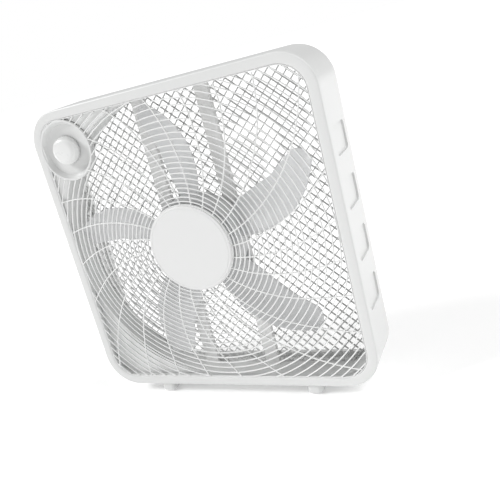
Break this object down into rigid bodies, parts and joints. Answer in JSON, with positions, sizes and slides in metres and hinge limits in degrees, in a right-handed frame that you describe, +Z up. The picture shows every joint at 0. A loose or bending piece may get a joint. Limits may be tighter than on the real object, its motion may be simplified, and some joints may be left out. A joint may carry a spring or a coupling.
{
  "type": "box fan",
  "caption": "Square portable box fan with a domed ring grille, swept blades, diamond rear guard, rotary speed knob and skid feet.",
  "frame": {"origin": "on the floor, at the centre of the bounding box seen from above", "axes": "+X to the right seen from the front, +Y rearward along the blade axis, +Z up; the front faces -Y"},
  "size_m": [0.527, 0.118, 0.56],
  "materials": {
    "white_body": "moulded white polypropylene, satin gloss",
    "white_grille": "moulded white polypropylene, satin gloss",
    "white_knob": "moulded white, satin gloss",
    "grey_blade": "translucent light grey plastic, satin",
    "inner_plastic": "moulded off-white plastic, matte",
    "strut_steel": "white painted steel sheet",
    "case_steel": "zinc plated pressed steel",
    "shaft_steel": "ground steel",
    "core_steel": "laminated electrical steel",
    "winding": "enamelled copper wire",
    "bronze_bush": "sintered bronze",
    "screw_zinc": "zinc plated",
    "switch_body": "black phenolic",
    "film_case": "black potted case",
    "gland_grey": "soft pale grey rubber"
  },
  "bodies": {
    "housing": {"front_frame": "white_body", "rear_shell": "white_body", "foot_left": "white_body", "foot_right": "white_body", "foot_screws": "screw_zinc", "air_guide": "inner_plastic", "front_grille": "white_grille", "hub_badge": "white_grille", "rear_grille": "white_grille", "rear_lattice": "white_grille", "motor_cover": "white_grille", "cord_gland": "gland_grey", "motor_bar_left": "strut_steel", "motor_bar_right": "strut_steel", "motor_plate": "case_steel", "plate_screws": "screw_zinc", "motor_front_case": "case_steel", "motor_rear_case": "case_steel", "motor_screws": "screw_zinc", "front_bearing": "bronze_bush", "rear_bearing": "bronze_bush", "stator": "core_steel", "stator_coils": "winding", "rotary_switch": "switch_body", "switch_nut": "screw_zinc", "run_capacitor": "film_case", "frame_screws": "screw_zinc"},
    "blade_set": {"impeller": "grey_blade", "blade_nut": "grey_blade", "motor_shaft": "shaft_steel", "rotor": "core_steel"},
    "speed_knob": {"control_knob": "white_knob", "switch_spindle": "shaft_steel"}
  },
  "joints": [
    {"name": "blade_spin", "type": "hinge", "parent": "housing", "child": "blade_set", "pos_m": [0, 0, 0.29], "axis": [0, 1, 0], "continuous": true},
    {"name": "knob_turn", "type": "hinge", "parent": "housing", "child": "speed_knob", "pos_m": [-0.198, -0.041, 0.488], "axis": [0, 1, 0], "range_deg": [0, 270]}
  ]
}
